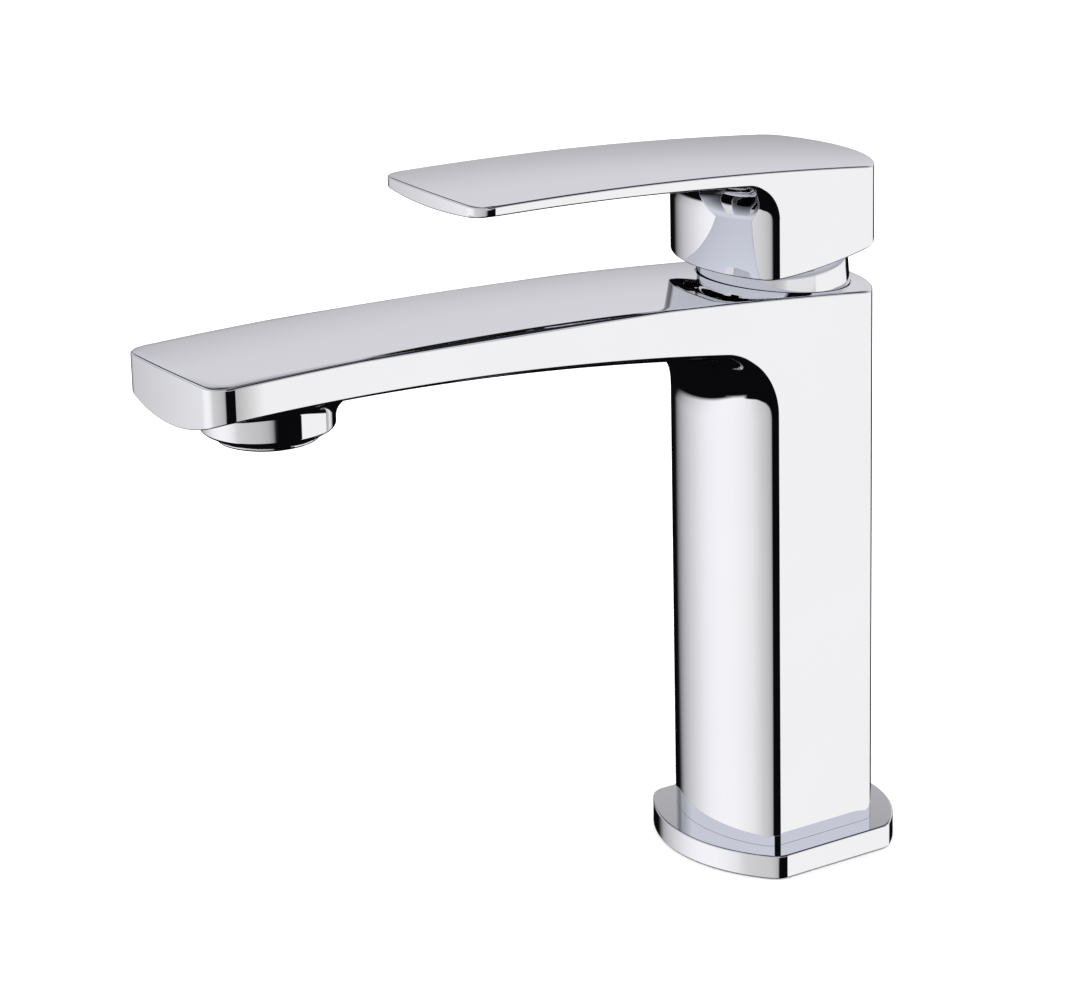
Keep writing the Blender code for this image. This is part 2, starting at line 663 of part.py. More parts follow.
def make_aerator():
    """Outlet pieces from the rim up: holder, washer, screen, jet former and flow limiter."""
    place = (0.0, OUTLET_Y)
    rim = [(8.0, 121.0), (10.5, 121.0), (10.8, 121.4), (10.8, OUTLET_Z - GAP)]
    rim += [(9.3, OUTLET_Z - GAP), (9.3, 130.2), (8.0, 130.2)]
    add_turned("aerator_holder", rim[::-1], "chrome", place, 32)
    screen = add_turned("aerator_screen", disc_profile(7.7, 121.6, 122.4), "steel", place, 28)
    vents = []
    for k in range(6):
        turn = math.radians(60 * k)
        vent_place = (4.6 * math.cos(turn), OUTLET_Y + 4.6 * math.sin(turn))
        vents.append(cut_turned(f"vent_{k}", disc_profile(1.3, 121.0, 123.0), vent_place, 10))
    combine(screen, vents)
    former = [(0.0, 128.6), (7.7, 128.6), (7.7, 122.7), (6.2, 122.7), (6.2, 126.4), (0.0, 126.4)]
    former = add_turned("jet_former", former, "white_plastic", place, 28)
    jet = cut_turned("jet", disc_profile(2.4, 125.0, 129.5), place, 14)
    combine(former, [jet])
    add_turned("flow_limiter", ring_profile(2.2, 7.5, 128.9, 130.0), "grey_plastic", place, 24)
    add_turned("outlet_washer", ring_profile(7.4, 9.3, 130.5, 132.0), "black_rubber", place, 28)


def main():
    clear_scene()
    make_body()
    make_base_flange()
    make_base_gasket()
    make_collar()
    make_cartridge_nut()
    make_cartridge_shell()
    make_cartridge_base()
    make_seals()
    make_fixed_disc()
    make_limit_ring()
    make_moving_disc()
    make_disc_carrier()
    make_turret()
    make_pivot_pin()
    make_stem()
    make_handle()
    make_set_screw()
    make_screw_plug()
    make_aerator()


main()
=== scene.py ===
# %% [markdown]
# # A single-lever basin tap in polished chrome
#
# The tap is a chromed brass casting with a lever handle on a ceramic cartridge.
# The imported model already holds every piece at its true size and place, so this
# lesson keeps that frame, and gives each surface the fine shape and finish that
# the plain solids leave out: rolled edges, true curves, and metal that mirrors.

# %% Load the frame
import json
import math

import bmesh
import bpy
from mathutils import Matrix, Vector

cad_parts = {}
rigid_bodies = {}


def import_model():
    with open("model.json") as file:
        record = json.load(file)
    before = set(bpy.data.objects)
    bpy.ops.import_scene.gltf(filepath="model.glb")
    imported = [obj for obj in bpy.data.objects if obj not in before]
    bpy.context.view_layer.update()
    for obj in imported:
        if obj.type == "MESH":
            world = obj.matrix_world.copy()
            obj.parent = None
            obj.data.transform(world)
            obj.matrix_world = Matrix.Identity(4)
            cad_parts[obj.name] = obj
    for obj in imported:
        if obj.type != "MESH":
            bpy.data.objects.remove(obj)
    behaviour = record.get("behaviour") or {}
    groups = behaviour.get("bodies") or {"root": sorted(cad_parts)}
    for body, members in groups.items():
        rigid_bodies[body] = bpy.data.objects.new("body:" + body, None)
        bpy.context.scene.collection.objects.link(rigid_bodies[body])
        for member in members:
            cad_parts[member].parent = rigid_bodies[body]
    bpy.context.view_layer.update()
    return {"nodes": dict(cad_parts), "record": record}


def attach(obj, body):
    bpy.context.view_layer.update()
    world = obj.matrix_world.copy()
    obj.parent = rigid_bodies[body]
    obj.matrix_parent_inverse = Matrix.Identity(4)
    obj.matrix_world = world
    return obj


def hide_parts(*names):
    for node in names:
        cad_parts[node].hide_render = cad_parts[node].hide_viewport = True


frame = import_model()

MM = 0.001

# %% [markdown]
# ## The camera
#
# A catalogue view of a tap is taken with a long lens from a little above, so
# that the upright edges stay nearly parallel. The camera is placed by an
# azimuth, an elevation and a distance from a point under the spout. A small
# roll finishes the framing.


# %% Place the camera
AZIMUTH = math.radians(56.506)
ELEVATION = math.radians(18.71)
ROLL = math.radians(-1.365)
DISTANCE = 0.896076
TARGET = Vector((0.0, -0.063212, 0.094537))
LENS, SENSOR = 138.03, 36.0
NEAREST = 0.01

right = Vector((math.cos(AZIMUTH), math.sin(AZIMUTH), 0.0))
behind = Vector(
    (
        math.sin(AZIMUTH) * math.cos(ELEVATION),
        -math.cos(AZIMUTH) * math.cos(ELEVATION),
        math.sin(ELEVATION),
    )
)
above = behind.cross(right)
rolled_right = right * math.cos(ROLL) + above * math.sin(ROLL)
rolled_above = above * math.cos(ROLL) - right * math.sin(ROLL)
view = bpy.data.cameras.new("view")
view.lens = LENS
view.sensor_width = SENSOR
view.clip_start = NEAREST
camera = bpy.data.objects.new("view", view)
bpy.context.scene.collection.objects.link(camera)
axes = Matrix((rolled_right, rolled_above, behind)).transposed().to_4x4()
camera.matrix_world = Matrix.Translation(TARGET + behind * DISTANCE) @ axes
bpy.context.scene.camera = camera
bpy.context.scene.view_settings.view_transform = "Standard"
print("camera at", [round(v, 3) for v in camera.location])

# %% [markdown]
# ## The studio
#
# Chrome has almost no colour of its own: what it shows is the room. The room
# here is a world made of nodes. A pale wall runs round the tap, and two black
# cards stand left and right of its front. The ceiling is a pale blue that
# darkens overhead, which draws the thin dark line along every rolled edge.
# Real cards could be placed as meshes, but they would stand in the way of a
# camera that walks round the tap. Only mirrored rays see this room. The
# camera itself and the soft shading see a plain pale one.
#
# Directions are given in degrees: azimuth runs from the spout side (-Y)
# towards +X, and height from straight down (-90) to straight up (90). Tones
# are display greys from 0 to 255.


# %% Node helpers
def add_node(tree, kind, **constants):
    """One node; constants on its inputs are given as in_0, in_1 and so on."""
    made = tree.nodes.new(kind)
    for key, value in constants.items():
        made.inputs[int(key[3:])].default_value = value
    return made


def sum_up(tree, operation, first, second=None, clamp=False):
    """A Math node; each input is a socket or a number."""
    made = tree.nodes.new("ShaderNodeMath")
    made.operation = operation
    made.use_clamp = clamp
    for place, value in enumerate((first, second)):
        if value is None:
            continue
        if isinstance(value, (int, float)):
            made.inputs[place].default_value = value
        else:
            tree.links.new(value, made.inputs[place])
    return made.outputs[0]


def times(tree, first, second, clamp=False):
    return sum_up(tree, "MULTIPLY", first, second, clamp)


def grey(level, cool=0.0):
    """A display grey, 0 to 255, as linear light, a little cooler if asked."""
    share = level / 255.0
    light = share / 12.92 if share <= 0.04045 else ((share + 0.055) / 1.055) ** 2.4
    return (light * (1 - cool * 0.6), light * (1 - cool), light * (1 + cool), 1.0)


def ramp(tree, source, stops, low, high):
    """A colour ramp whose stops are written in the source's own units."""
    made = tree.nodes.new("ShaderNodeValToRGB")
    band = made.color_ramp
    while len(band.elements) > 1:
        band.elements.remove(band.elements[-1])
    for k, (value, colour) in enumerate(stops):
        place = (value - low) / (high - low)
        stop = band.elements[0] if k == 0 else band.elements.new(place)
        stop.position = place
        stop.color = colour
    scaled = sum_up(tree, "DIVIDE", sum_up(tree, "SUBTRACT", source, low), high - low, True)
    tree.links.new(scaled, made.inputs[0])
    return made.outputs[0]


def blend_colours(tree, share, first, second):
    """The first colour where share is 0, the second where it is 1; each may be a tuple."""
    made = tree.nodes.new("ShaderNodeMix")
    made.data_type = "RGBA"
    for place, value in ((0, share), (6, first), (7, second)):
        if isinstance(value, tuple):
            made.inputs[place].default_value = value
        else:
            tree.links.new(value, made.inputs[place])
    return made.outputs[2]


# %% The walls of the room, as (azimuth, tone)
WALL = (
    (-180, 238), (-164, 238), (-159, 12), (-127, 8), (-100, 12), (-96, 30), (-90, 125),
    (-82, 168), (-74, 190), (-66, 206), (-58, 219), (-50, 232), (-42, 240), (-30, 245),
    (-18, 244), (-8, 238), (0, 229), (7, 210), (15, 203), (31, 197), (47, 190), (60, 178),
    (68, 150), (73, 40), (78, 8), (118.2, 6), (119.05, 160), (119.2, 185), (119.38, 228),
    (119.5, 239), (121, 241), (180, 240),
)
CLEAR, FULL = (0, 0, 0, 1), (1, 1, 1, 1)
HALF_SHARE, FAINT = (0.5, 0.5, 0.5, 1), (0.25, 0.25, 0.25, 1)
LEFT_COOL, FRONT_COOL, RIGHT_COOL = 0.022, 0.012, 0.003
LEFT_ENDS, FRONT_ENDS = -20, 60

world = bpy.data.worlds.new("studio")
bpy.context.scene.world = world
world.use_nodes = True
room = world.node_tree
room.nodes.clear()
direction = add_node(room, "ShaderNodeTexCoord").outputs["Generated"]
split = add_node(room, "ShaderNodeSeparateXYZ")
room.links.new(direction, split.inputs[0])
to_front = times(room, split.outputs["Y"], -1.0)
turn = sum_up(room, "ARCTAN2", split.outputs["X"], to_front)
azimuth = times(room, turn, math.degrees(1.0))
rise = sum_up(room, "ARCSINE", split.outputs["Z"])
height = times(room, rise, math.degrees(1.0))


def by_azimuth(stops):
    """A ramp all the way round the room, from (azimuth, colour) stops."""
    return ramp(room, azimuth, stops, -180.0, 180.0)


def by_height(stops, low=-90.0):
    """A ramp from `low` to straight up, from (height, colour) stops."""
    return ramp(room, height, stops, low, 90.0)


def wall_colour(place, level):
    """Lavender on the left, nearly neutral on the right."""
    if place < LEFT_ENDS:
        return grey(level, LEFT_COOL)
    return grey(level, FRONT_COOL if place < FRONT_ENDS else RIGHT_COOL)


wall = by_azimuth([(a, wall_colour(a, v)) for a, v in WALL])
print("wall stops:", len(WALL))

# %% [markdown]
# The wall behind the tap to the left is what the flat tops mirror. It stands
# above eye level only, and it is a lavender grey that darkens below a slanting
# line. The line passes through one direction and climbs with the azimuth.

# %% The back wall
LINE_AZIMUTH, LINE_HEIGHT, LINE_CLIMB = -118.3, 17.3, 0.78
BACK_TONES = ((-22, 95), (-12, 135), (-5.2, 177), (-3.2, 188), (-1.2, 201), (0.5, 208), (6, 212))
BACK_COOL = 0.03

slant = times(room, sum_up(room, "ADD", azimuth, -LINE_AZIMUTH), LINE_CLIMB)
above_line = sum_up(room, "SUBTRACT", sum_up(room, "SUBTRACT", height, LINE_HEIGHT), slant)
back_wall = ramp(room, above_line, [(u, grey(v, BACK_COOL)) for u, v in BACK_TONES], -22.0, 12.0)
low_edge = by_height([(-1.0, CLEAR), (1.5, FULL)])
to_back = by_azimuth([(-172, CLEAR), (-166, FULL), (-98, FULL), (-90, CLEAR)])
print("back wall tones:", len(BACK_TONES))

# %% [markdown]
# Both black cards widen towards the floor. The right one is cut by a pale
# band at eye level, and carries on above it.

# %% The two black cards
BLACK = grey(10, 0.1)
PALE_BAND = grey(226, 0.02)
RIGHT_CARD = ((-46, -10), (-40, 20), (-34, 44), (-28, 58), (-22, 68), (-18, 74))
LEFT_CARD = ((-46, -20), (-40, -36), (-34, -54), (-27, -74), (-22, -88), (-19, -98))
RIGHT_SHARPNESS, LEFT_SHARPNESS = 0.16, 0.08


def card_edge(stops):
    """The azimuth where a card ends at each height, from (height, azimuth) stops."""
    tones = [(k, (0.5 + a / 360, 0.5 + a / 360, 0.5 + a / 360, 1)) for k, a in stops]
    return times(room, sum_up(room, "SUBTRACT", by_height(tones), 0.5), 360.0)


past_right = sum_up(room, "SUBTRACT", azimuth, card_edge(RIGHT_CARD))
card = times(room, past_right, RIGHT_SHARPNESS, True)
card = times(room, card, by_azimuth([(118, FULL), (119, CLEAR)]))
off_band = by_height([(-12, FULL), (-9, CLEAR), (9, CLEAR), (12, FULL)])
pale_right = by_azimuth([(55, CLEAR), (75, FULL), (118, FULL), (122, CLEAR)])
band = times(room, pale_right, sum_up(room, "SUBTRACT", 1.0, off_band))
past_left = sum_up(room, "SUBTRACT", card_edge(LEFT_CARD), azimuth)
dark_left = times(room, past_left, LEFT_SHARPNESS, True)
dark_left = times(room, dark_left, by_azimuth([(-164, CLEAR), (-159, FULL)]))
lower_room = blend_colours(room, dark_left, wall, BLACK)
lower_room = blend_colours(room, card, lower_room, BLACK)
lower_room = blend_colours(room, band, lower_room, PALE_BAND)
print("card edges:", len(RIGHT_CARD) + len(LEFT_CARD), "stops")

# %% [markdown]
# The ceiling is brightest a third of the way up. Two dark fields hang in it,
# one at the far right and one at the far left, and a black pit closes the
# floor.

# %% The ceiling and the pit
CEILING = (
    (-6, 150), (0, 176), (10, 194), (19, 202), (26, 225), (31, 225), (40, 176), (50, 112),
    (58, 60), (66, 84), (78, 128), (90, 140),
)
SKY_BLUE = (0.915, 0.945, 1.065)
RIGHT_FIELD, LEFT_FIELD = grey(34, 0.05), grey(28, 0.05)
PIT_RISE = ((-100, 0.0), (-80, 5.0), (-60, 12.0), (-30, 18.0), (0, 21.0), (70, 21.0), (118, 0.0))
PIT_UNIT = 100.0


def sky(level):
    """A display grey turned towards a cool blue."""
    light = grey(level)[0]
    return (*(light * tint for tint in SKY_BLUE), 1.0)


ceiling = by_height([(e, sky(v)) for e, v in CEILING])
over_horizon = by_height([(-7, CLEAR), (-3, FULL)])
ceiling = blend_colours(room, times(room, card, off_band), ceiling, BLACK)
far_right = by_azimuth([(112, CLEAR), (122, FULL), (176, FULL), (180, CLEAR)])
right_rise = by_height([(24, CLEAR), (30, FULL), (56, FULL), (68, FAINT)], 0.0)
ceiling = blend_colours(room, times(room, far_right, right_rise), ceiling, RIGHT_FIELD)
front_room = blend_colours(room, over_horizon, lower_room, ceiling)
mirrored = blend_colours(room, times(room, to_back, low_edge), front_room, back_wall)
far_left = by_azimuth([(-172, CLEAR), (-166, FULL), (-86, FULL), (-70, CLEAR)])
left_rise = [(19.5, CLEAR), (24, HALF_SHARE), (28, FULL), (52, FULL), (66, FAINT)]
dark_corner = times(room, far_left, by_height(left_rise, 0.0))
mirrored = blend_colours(room, dark_corner, mirrored, LEFT_FIELD)
pit_tones = [(a, (v / PIT_UNIT, v / PIT_UNIT, v / PIT_UNIT, 1)) for a, v in PIT_RISE]
pit_height = sum_up(room, "ADD", height, times(room, by_azimuth(pit_tones), PIT_UNIT))
pit = ramp(room, pit_height, [(-31, FULL), (-26.5, CLEAR)], -90.0, 90.0)
mirrored = blend_colours(room, pit, mirrored, BLACK)
print("ceiling tones:", len(CEILING))

# %% [markdown]
# Chrome gives back about 87 parts in 100 of the light, so the mirrored room is
# brightened by as much. The soft room is brighter than white, which keeps the
# floor clean right up to the cover plate.

# %% Who sees which room
METAL_LOSS = 0.87
SOFT_WHITE, SOFT_STRENGTH = (1.0, 0.995, 1.0, 1.0), 1.7

paths = add_node(room, "ShaderNodeLightPath")
plain = add_node(room, "ShaderNodeBackground", in_0=(1.0, 1.0, 1.0, 1.0), in_1=1.0)
shade = add_node(room, "ShaderNodeBackground", in_0=SOFT_WHITE, in_1=SOFT_STRENGTH)
mirror = add_node(room, "ShaderNodeBackground", in_1=1.0 / METAL_LOSS)
room.links.new(mirrored, mirror.inputs[0])
glossy_or_soft = add_node(room, "ShaderNodeMixShader")
room.links.new(paths.outputs["Is Glossy Ray"], glossy_or_soft.inputs[0])
room.links.new(shade.outputs[0], glossy_or_soft.inputs[1])
room.links.new(mirror.outputs[0], glossy_or_soft.inputs[2])
seen = add_node(room, "ShaderNodeMixShader")
room.links.new(paths.outputs["Is Camera Ray"], seen.inputs[0])
room.links.new(glossy_or_soft.outputs[0], seen.inputs[1])
room.links.new(plain.outputs[0], seen.inputs[2])
out = add_node(room, "ShaderNodeOutputWorld")
room.links.new(seen.outputs[0], out.inputs[0])
print("studio nodes:", len(room.nodes))

# %% [markdown]
# ## Finishes
#
# Each finish is a Principled shader. Its colour, its roughness and its fine
# relief come from noise at a size that suits the real surface, so that no
# piece is one flat tone. The noise is laid out in the piece's own metres.


# %% A finish from two layers of noise
METAL, PLAIN = 1.0, 0.0
CLOUD_SCALE, CLOUD_DETAIL, GRAIN_DETAIL = 45.0, 3.0, 4.0
TONE_FROM, TONE_TO = 0.35, 0.65
ROUGH_FROM, ROUGH_TO = 0.3, 0.7


def finish(name, dark, light, rough, metallic, grain, relief, stretch=(1, 1, 1)):
    """dark and light are colours, rough is (low, high), relief is a depth in metres."""
    made = bpy.data.materials.new(name)
    made.use_nodes = True
    tree = made.node_tree
    shader = tree.nodes["Principled BSDF"]
    shader.inputs["Metallic"].default_value = metallic
    place = add_node(tree, "ShaderNodeTexCoord")
    spread = add_node(tree, "ShaderNodeMapping")
    spread.inputs["Scale"].default_value = stretch
    tree.links.new(place.outputs["Object"], spread.inputs["Vector"])

    def noise(scale, detail):
        layer = add_node(tree, "ShaderNodeTexNoise")
        layer.inputs["Scale"].default_value = scale
        layer.inputs["Detail"].default_value = detail
        tree.links.new(spread.outputs[0], layer.inputs["Vector"])
        return layer.outputs[0]

    clouds = noise(CLOUD_SCALE, CLOUD_DETAIL)
    tones = [(TONE_FROM, (*dark, 1.0)), (TONE_TO, (*light, 1.0))]
    tree.links.new(ramp(tree, clouds, tones, 0.0, 1.0), shader.inputs["Base Color"])
    fine = noise(grain, GRAIN_DETAIL)
    both = sum_up(tree, "ADD", times(tree, clouds, 0.5), times(tree, fine, 0.5))
    reach = add_node(tree, "ShaderNodeMapRange")
    tree.links.new(both, reach.inputs[0])
    for key, value in (("From Min", ROUGH_FROM), ("From Max", ROUGH_TO)):
        reach.inputs[key].default_value = value
    for key, value in zip(("To Min", "To Max"), rough):
        reach.inputs[key].default_value = value
    tree.links.new(reach.outputs[0], shader.inputs["Roughness"])
    bump = add_node(tree, "ShaderNodeBump")
    bump.inputs["Strength"].default_value = 1.0
    bump.inputs["Distance"].default_value = relief
    tree.links.new(fine, bump.inputs["Height"])
    tree.links.new(bump.outputs[0], shader.inputs["Normal"])
    return made


CHROME = finish(
    "polished_chrome",
    (0.864, 0.863, 0.873), (0.872, 0.870, 0.880), (0.006, 0.016), METAL, 900.0, 8e-9,
)
FINISHES = {
    "chrome": CHROME,
    "brass": finish(
        "turned_brass",
        (0.62, 0.44, 0.19), (0.78, 0.58, 0.28), (0.22, 0.38), METAL, 1400.0, 2e-6, (1, 1, 12),
    ),
    "steel": finish(
        "brushed_steel",
        (0.50, 0.50, 0.51), (0.66, 0.66, 0.67), (0.18, 0.34), METAL, 1800.0, 1.5e-6, (1, 9, 1),
    ),
    "white_plastic": finish(
        "white_plastic",
        (0.80, 0.80, 0.77), (0.87, 0.87, 0.84), (0.36, 0.52), PLAIN, 2600.0, 4e-6,
    ),
    "grey_plastic": finish(
        "grey_plastic",
        (0.30, 0.32, 0.35), (0.38, 0.40, 0.43), (0.34, 0.50), PLAIN, 2400.0, 4e-6,
    ),
    "ceramic": finish(
        "ground_ceramic",
        (0.84, 0.83, 0.80), (0.90, 0.90, 0.88), (0.08, 0.18), PLAIN, 3200.0, 6e-7,
    ),
    "rubber": finish(
        "black_rubber",
        (0.012, 0.012, 0.013), (0.03, 0.03, 0.03), (0.55, 0.75), PLAIN, 2200.0, 8e-6,
    ),
}
print("finishes:", len(FINISHES))

# %% [markdown]
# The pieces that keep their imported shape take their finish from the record's
# own material slots, so nothing is left in a plain default colour.

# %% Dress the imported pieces
dressed = 0
for entry in frame["record"]["subparts"]:
    for holder in frame["nodes"][entry["node"]].material_slots:
        holder.material = FINISHES[entry["material_slot"]]
        dressed += 1
print("packed pieces dressed:", dressed)

# %% [markdown]
# ## Shape helpers
#
# The castings are lofts. Their outline seen from above has two flat sides and
# two bowed ends, and their side view is made of long flat arcs. A loft across
# the width follows both at once. The edges are rolled by lowering the surface
# near the rim by a quarter circle, which gives a cleaner highlight than a
# bevel on a mesh this fine. All sizes are in millimetres.


# %% Outline helpers
CLOSEST = 0.012


def arc_z(apex, radius, y):
    """The height of a long flat arc at y; apex is its (y, z), and a negative radius opens up."""
    return apex[1] - (y - apex[0]) ** 2 / (2 * radius)


def bow_parts(half, bow, corner):
    """A bowed end's radius and centre, and the centre of its rounded corners."""
    radius = (half * half + bow * bow) / (2 * bow)
    centre = bow - radius
    corner_centre = centre + math.sqrt((radius - corner) ** 2 - (half - corner) ** 2)
    return radius, centre, corner_centre


def bow_reach(x, half, bow, corner):
    """How far a bowed end stands out at x, past the end of the flat sides."""
    radius, centre, corner_centre = bow_parts(half, bow, corner)
    x = min(abs(x), half)
    touch = (half - corner) * radius / (radius - corner)
    if x <= touch:
        return centre + math.sqrt(radius * radius - x * x) - corner_centre
    return math.sqrt(max(corner**2 - (x - half + corner) ** 2, 0.0))


def rim_distance(x, past, half, bow, corner):
    """Distance in from the outline, at x and at `past` beyond the flat sides' end."""
    x = abs(x)
    if past <= 0:
        return half - x
    radius, centre, corner_centre = bow_parts(half, bow, corner)
    arc_centre = centre - corner_centre
    across, along = half - corner, -arc_centre
    if across * (past - arc_centre) - along * x < 0:
        return max(corner - math.hypot(x - across, past), 0.0)
    return max(radius - math.hypot(x, past - arc_centre), 0.0)


def roll(distance, edge):
    """How far a rolled edge has dropped at this distance in from the rim."""
    if distance >= edge:
        return 0.0
    return edge - math.sqrt(edge**2 - (edge - distance) ** 2)


def spread(start, end, count):
    """Evenly spaced values, both ends included, with `count` steps between them."""
    return [start + (end - start) * k / count for k in range(count + 1)]


def across_stations(half, corner, edge, inner=10):
    """Places across the width, crowded where the corner and the rolled edge turn."""
    places = {0.0, half}
    for size, step in ((corner, 6), (edge, 15)):
        places |= {half - size + size * math.cos(math.radians(a)) for a in range(0, 91, step)}
    places |= {(half - corner) * k / inner for k in range(inner)}
    kept = []
    for place in sorted(places):
        if not kept or place - kept[-1] > CLOSEST:
            kept.append(place)
    kept[-1] = half
    return [-x for x in kept[:0:-1]] + kept


def rim_steps(edge):
    """Distances in from the rim where a rolled edge turns by even steps."""
    return [edge * (1 - math.cos(math.radians(a))) for a in (0, 18, 34, 50, 66, 80, 90)]


def plan_outline(inset, half, corner, front, back, step, count):
    """The outline from above, drawn in by `inset`; front and back are (middle, bow)."""
    width, corner = half - inset, corner - inset
    places = [width - corner + corner * math.cos(math.radians(a)) for a in range(0, 90, step)]
    places += [(width - corner) * k / count for k in range(count, 0, -1)]
    places = [-x for x in places] + [0.0] + places[::-1]
    outline = []
    for side, (middle, bow), row in ((-1, front, places), (1, back, places[::-1])):
        flat_end = middle - side * inset - side * bow_reach(0, width, bow, corner)
        outline += [(x, flat_end + side * bow_reach(x, width, bow, corner)) for x in row]
    return outline


# %% Mesh helpers
WELD = 2e-7
CREASE, FLATS_LEAD = math.radians(28.0), 80


def make_mesh(name, points, faces, material):
    """A mesh from points in millimetres, with nearby points welded."""
    mesh = bpy.data.meshes.new(name)
    mesh.from_pydata([Vector(p) * MM for p in points], [], faces)
    shell = bmesh.new()
    shell.from_mesh(mesh)
    bmesh.ops.remove_doubles(shell, verts=shell.verts, dist=WELD)
    bmesh.ops.recalc_face_normals(shell, faces=shell.faces)
    shell.to_mesh(mesh)
    shell.free()
    mesh.materials.append(material)
    made = bpy.data.objects.new(name, mesh)
    bpy.context.scene.collection.objects.link(made)
    return made


def loft(name, rings, material):
    """Closed rings of equal length joined in a row, with both ends capped."""
    count = len(rings[0])
    points = [point for ring in rings for point in ring]
    faces = []
    for row in range(len(rings) - 1):
        here = row * count
        for i in range(count):
            j = (i + 1) % count
            faces.append((here + i, here + j, here + count + j, here + count + i))
    faces.append(tuple(range(count))[::-1])
    faces.append(tuple(range((len(rings) - 1) * count, len(rings) * count)))
    return make_mesh(name, points, faces, material)


def prism(name, outline, low, high, material, axis="Z"):
    """An outline pulled along Z, or a side view pulled across the width along X."""
    if axis == "Z":
        rings = [[(u, v, w) for u, v in outline] for w in (low, high)]
    else:
        rings = [[(w, u, v) for u, v in outline] for w in (low, high)]
    return loft(name, rings, material)


def turned(name, profile, material, centre=(0.0, 0.0), steps=96):
    """A closed (radius, z) outline turned round an upright axis through `centre`."""
    points, rows, faces = [], [], []
    for radius, z in profile:
        if radius == 0.0:
            rows.append([len(points)] * steps)
            points.append((centre[0], centre[1], z))
            continue
        rows.append(list(range(len(points), len(points) + steps)))
        for i in range(steps):
            angle = 2 * math.pi * i / steps
            x, y = centre[0] + radius * math.cos(angle), centre[1] + radius * math.sin(angle)
            points.append((x, y, z))
    open_ends = profile[0][0] == 0.0
    for k in range(len(profile) - 1 if open_ends else len(profile)):
        low, high = rows[k], rows[(k + 1) % len(profile)]
        for i in range(steps):
            j = (i + 1) % steps
            faces.append(tuple(dict.fromkeys((low[i], low[j], high[j], high[i]))))
    return make_mesh(name, points, faces, material)


def disc(radius, low, high):
    """The (radius, z) profile of a plain round helper shape."""
    return [(0.0, high), (radius, high), (radius, low), (0.0, low)]


def carve(piece, helpers, operation="DIFFERENCE"):
    """Cuts with each helper shape, or joins it on, and then throws the helpers away."""
    for helper in helpers:
        change = piece.modifiers.new(helper.name, "BOOLEAN")
        change.operation = operation
        change.object = helper
    seen_mesh = piece.evaluated_get(bpy.context.evaluated_depsgraph_get())
    result = bpy.data.meshes.new_from_object(seen_mesh)
    piece.modifiers.clear()
    piece.data = result
    for helper in helpers:
        bpy.data.objects.remove(helper)


def polish(piece):
    """Smooth shading that stays flat on flats, with creases kept sharp."""
    piece.data.shade_smooth()
    piece.data.set_sharp_from_angle(angle=CREASE)
    weigh = piece.modifiers.new("flats_lead", "WEIGHTED_NORMAL")
    weigh.mode = "FACE_AREA"
    weigh.weight = FLATS_LEAD
    weigh.keep_sharp = True


# %% [markdown]
# ## The body
#
# The body is one casting: a hollow column, the cartridge chamber, the spout
# and the round outlet boss. The deck of the spout is flat across with a hair
# of camber, which is what shades it from the far edge to the near one. A
# polishing wheel leans hardest on the middle of the spout's long top edges. The
# narrow slope that it leaves there mirrors the dark ceiling as a slim lens.

# %% Body sizes
HALF, CORNER = 19.0, 4.5
FRONT, BACK = -20.8, 21.0
FRONT_BOW, BACK_BOW = 6.0, 8.4
FOOT_Z = 5.54
TIP, TIP_BOW, TIP_CORNER = -153.2, 0.8, 5.0
DECK_APEX, DECK_RADIUS = (-131.2, 140.0), 1192.0
UNDER_APEX, UNDER_RADIUS, UNDER_CROWN = (-140.0, 132.3), 700.0, 3.8
ARCH = 16.5
EDGE = 0.5
LENS_WIDTH, LENS_DROP = 1.7, 0.6
LENS_START, LENS_LENGTH = -118.0, 76.0
TIP_UNDER_EDGE, COLUMN_UNDER_EDGE = 0.3, 0.8
UNDER_EDGE_START, UNDER_EDGE_LENGTH = -150.0, 110.0
SOFT_RIM, SOFT_DROP = 2.4, 0.06
CAMBER = 0.25
DECK_STEPS, UNDER_STEPS, ARCH_STEPS, WALL_STEPS, TIP_STEPS = 110, 48, 28, 6, 3
BODY_INNER = 14

FRONT_FLAT = FRONT + bow_reach(0, HALF, FRONT_BOW, CORNER)
BACK_FLAT = BACK - bow_reach(0, HALF, BACK_BOW, CORNER)
TIP_FLAT = TIP + bow_reach(0, HALF, TIP_BOW, TIP_CORNER)


def crown(x, depth):
    """How far an underside hangs below its side edges, across the width."""
    return depth * (1 - (x / HALF) ** 2)


def share_along(y, start, length):
    return min(max((y - start) / length, 0.0), 1.0)


def lens_drop(x, y):
    """The worn slope along the middle of each long top edge."""
    swell = math.sin(math.pi * share_along(y, LENS_START, LENS_LENGTH))
    return LENS_DROP * swell * max(1 - (HALF - abs(x)) / LENS_WIDTH, 0.0) ** 2


def under_edge(y):
    """The roll of the lower edges, tight at the tip and wider towards the column."""
    share = share_along(y, UNDER_EDGE_START, UNDER_EDGE_LENGTH)
    return TIP_UNDER_EDGE + (COLUMN_UNDER_EDGE - TIP_UNDER_EDGE) * share


def soft_rim(distance):
    """The gentle fall of a polished face over its last two millimetres."""
    return SOFT_DROP * max(1 - distance / SOFT_RIM, 0.0) ** 2


def plan_distance(x, y):
    """Distance in from the body's outline as seen from above."""
    ahead = rim_distance(x, TIP_FLAT - y, HALF, TIP_BOW, TIP_CORNER)
    back = rim_distance(x, y - BACK_FLAT, HALF, BACK_BOW, CORNER)
    return min(ahead, back)


def deck_z(x, y):
    """The height of the deck, with its camber, its rolled rim and its worn slope."""
    inside = plan_distance(x, y)
    drop = roll(inside, EDGE) + soft_rim(inside) + lens_drop(x, y)
    return arc_z(DECK_APEX, DECK_RADIUS, y) - CAMBER * (x / HALF) ** 2 - drop


